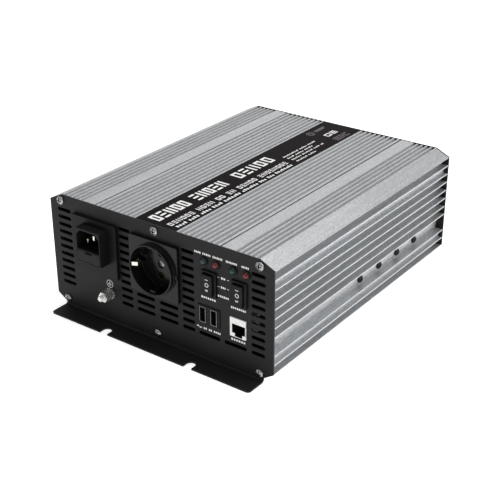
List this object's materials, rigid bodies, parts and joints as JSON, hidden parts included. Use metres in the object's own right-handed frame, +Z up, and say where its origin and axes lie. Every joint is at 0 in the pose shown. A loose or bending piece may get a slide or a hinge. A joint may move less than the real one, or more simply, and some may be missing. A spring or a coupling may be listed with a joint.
{
  "type": "power inverter",
  "caption": "Mains inverter and charger in a finned aluminium case with black end panels, folded slotted feet, earthed socket, inlet, rockers, lamps and signal ports.",
  "frame": {"origin": "on the surface that the feet stand on, under the middle of the case", "axes": "+Z up, -Y out of the front panel with the socket and switches, +X to the right as seen from the front"},
  "size_m": [0.22, 0.306, 0.1014],
  "materials": {
    "case_aluminium": "sand-blasted and clear anodised",
    "panel_powder_coat": "fine black powder coat",
    "label_film": "printed black film",
    "zinc_screw": "bright zinc plate",
    "black_screw": "black oxide",
    "bar_aluminium": "plain drawn bar",
    "black_moulding": "moulded black plastic",
    "earth_spring": "nickel-plated spring strip",
    "brass": "drawn brass",
    "fuse_glass": "glass tube",
    "lamp_teal": "tinted lamp lens",
    "lamp_red": "tinted lamp lens",
    "lamp_green": "tinted lamp lens",
    "white_moulding": "moulded white plastic",
    "steel_shell": "tin-plated pressed steel",
    "gold_contact": "gold-flashed wire",
    "red_moulding": "moulded red plastic",
    "board_green": "glass-epoxy board with green solder mask",
    "copper": "tinned copper bar",
    "ferrite": "sintered ferrite",
    "winding_tape": "polyester tape over the winding",
    "iron_powder": "coated iron-powder ring",
    "enamel_wire": "enamelled copper wire",
    "capacitor_blue": "shrink sleeve",
    "capacitor_green": "shrink sleeve",
    "package_black": "moulded epoxy package"
  },
  "bodies": {
    "case": {"case_top": "case_aluminium", "case_bottom": "case_aluminium", "front_panel": "panel_powder_coat", "rear_panel": "panel_powder_coat", "top_label": "label_film", "front_panel_screws": "zinc_screw", "rear_panel_screws": "zinc_screw", "side_screws": "black_screw", "heat_bar_left": "bar_aluminium", "heat_bar_right": "bar_aluminium", "ac_socket_housing": "black_moulding", "ac_socket_earth_clips": "earth_spring", "ac_socket_contacts": "brass", "ac_socket_screw": "zinc_screw", "inlet_plate": "black_moulding", "inlet_housing": "black_moulding", "inlet_pins": "earth_spring", "ground_stud": "zinc_screw", "ground_lock_washer": "zinc_screw", "ground_nuts": "zinc_screw", "led_bezels": "black_moulding", "led_bypass": "lamp_teal", "led_charger": "lamp_red", "led_inverter": "lamp_green", "led_fault": "lamp_red", "charger_switch_frame": "black_moulding", "inverter_switch_frame": "black_moulding", "usb_module": "black_moulding", "usb_shells": "steel_shell", "usb_tongues": "white_moulding", "rj45_jack": "white_moulding", "rj45_contacts": "gold_contact", "fan_left_frame": "black_moulding", "fan_left_guard": "steel_shell", "fan_right_frame": "black_moulding", "fan_right_guard": "steel_shell", "fan_screws": "zinc_screw", "dc_positive_insulator": "red_moulding", "dc_negative_insulator": "black_moulding", "dc_studs": "brass", "dc_stud_nuts": "zinc_screw", "dc_busbars": "copper", "main_board": "board_green", "board_standoffs": "brass", "board_screws": "zinc_screw", "control_board": "board_green", "transformer_cores": "ferrite", "transformer_windings": "winding_tape", "choke_core": "iron_powder", "choke_winding": "enamel_wire", "high_voltage_capacitors": "capacitor_blue", "input_capacitors": "capacitor_green", "power_transistors": "package_black", "bypass_relays": "package_black"},
    "charger_rocker": {"charger_rocker": "black_moulding"},
    "inverter_rocker": {"inverter_rocker": "black_moulding"},
    "fuse_drawer": {"fuse_drawer": "black_moulding", "line_fuses": "fuse_glass"},
    "fan_left_rotor": {"fan_left_rotor": "black_moulding"},
    "fan_right_rotor": {"fan_right_rotor": "black_moulding"}
  },
  "joints": [
    {"name": "charger_rocker_tilt", "type": "hinge", "parent": "case", "child": "charger_rocker", "pos_m": [0.052, -0.1336, 0.0682], "axis": [1, 0, 0], "range_deg": [-10, 10]},
    {"name": "inverter_rocker_tilt", "type": "hinge", "parent": "case", "child": "inverter_rocker", "pos_m": [0.0798, -0.1336, 0.0682], "axis": [1, 0, 0], "range_deg": [-10, 10]},
    {"name": "fuse_drawer_slide", "type": "slide", "parent": "case", "child": "fuse_drawer", "axis": [0, -1, 0], "range_m": [0, 0.018]},
    {"name": "fan_left_spin", "type": "hinge", "parent": "case", "child": "fan_left_rotor", "pos_m": [-0.066, 0.121, 0.052], "axis": [0, 1, 0], "continuous": true},
    {"name": "fan_right_spin", "type": "hinge", "parent": "case", "child": "fan_right_rotor", "pos_m": [0.066, 0.121, 0.052], "axis": [0, 1, 0], "continuous": true}
  ]
}
